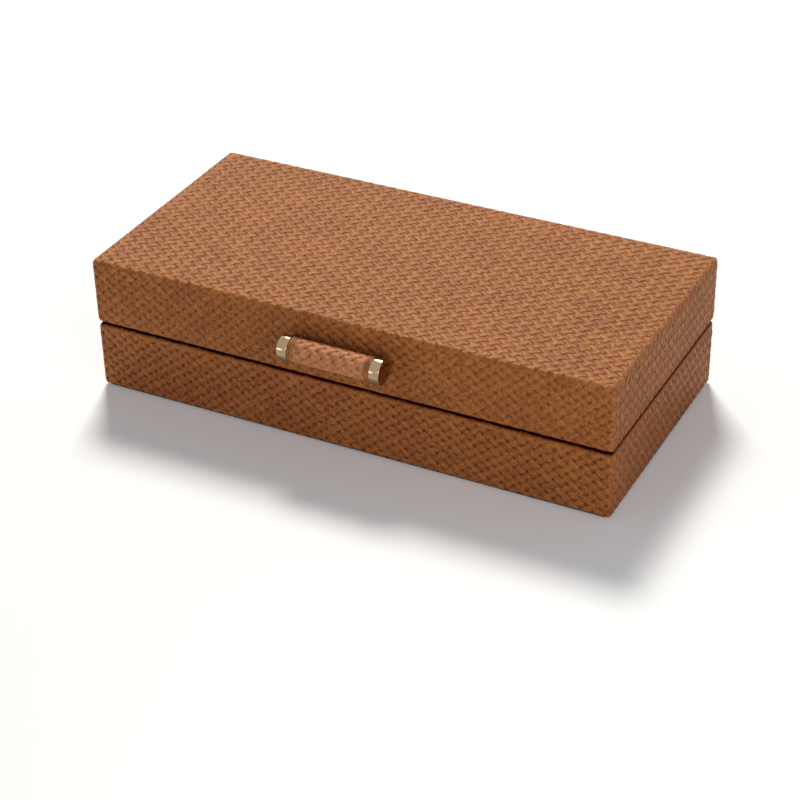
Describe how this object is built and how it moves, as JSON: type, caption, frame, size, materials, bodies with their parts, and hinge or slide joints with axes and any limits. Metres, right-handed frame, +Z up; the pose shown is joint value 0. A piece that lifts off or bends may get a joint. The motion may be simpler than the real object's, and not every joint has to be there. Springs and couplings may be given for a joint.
{
  "type": "jewelry case",
  "caption": "Low rectangular box in woven leather with a hinged lid, a bar handle with metal caps on the lid's front, and a suede-lined inside with ring rolls, trays and a mirror.",
  "frame": {"origin": "centre of the case's plan on the underside of the felt pad, the surface it stands on", "axes": "+X along the case towards its right end, -Y towards the front with the handle, +Z up"},
  "size_m": [0.3, 0.1669, 0.078],
  "materials": {
    "woven_leather": "woven strips, soft sheen",
    "suede": "soft brown suede",
    "felt": "dark felt",
    "board": "plain fibreboard",
    "mirror": "polished",
    "pale_gold": "polished, pale gold",
    "hinge_brass": "satin",
    "steel": "satin"
  },
  "bodies": {
    "base": {"base_leather_wrap": "woven_leather", "base_liner_front": "suede", "base_liner_back": "suede", "base_liner_left": "suede", "base_liner_right": "suede", "floor_lining": "suede", "ring_bay_divider": "suede", "long_tray_divider": "suede", "small_tray_divider_1": "suede", "small_tray_divider_2": "suede", "ring_roll_1": "suede", "ring_roll_2": "suede", "ring_roll_3": "suede", "ring_roll_4": "suede", "ring_roll_5": "suede", "base_felt_pad": "felt", "base_floor_panel": "board", "base_front_wall": "board", "base_back_wall": "board", "base_left_wall": "board", "base_right_wall": "board", "base_infill_card": "board", "hinge_base_leaf_left": "hinge_brass", "hinge_base_leaf_right": "hinge_brass", "hinge_pin_left": "hinge_brass", "hinge_pin_right": "hinge_brass", "hinge_base_screws": "hinge_brass", "base_magnets": "steel"},
    "lid": {"lid_leather_wrap": "woven_leather", "handle_leather_grip": "woven_leather", "handle_collar_left": "woven_leather", "handle_collar_right": "woven_leather", "lid_liner_front": "suede", "lid_liner_back": "suede", "lid_liner_left": "suede", "lid_liner_right": "suede", "mirror_frame": "suede", "lid_top_panel": "board", "lid_front_wall": "board", "lid_back_wall": "board", "lid_left_wall": "board", "lid_right_wall": "board", "lid_lining_board": "board", "mirror_glass": "mirror", "handle_end_cap_left": "pale_gold", "handle_end_cap_right": "pale_gold", "handle_post_left": "pale_gold", "handle_post_right": "pale_gold", "hinge_lid_leaf_left": "hinge_brass", "hinge_lid_leaf_right": "hinge_brass", "hinge_lid_screws": "hinge_brass", "lid_magnets": "steel", "handle_core": "steel", "handle_screws": "steel"}
  },
  "joints": [
    {"name": "lid_hinge", "type": "hinge", "parent": "base", "child": "lid", "pos_m": [0, 0.0751, 0.0399], "axis": [-1, 0, 0], "range_deg": [0, 100]}
  ]
}
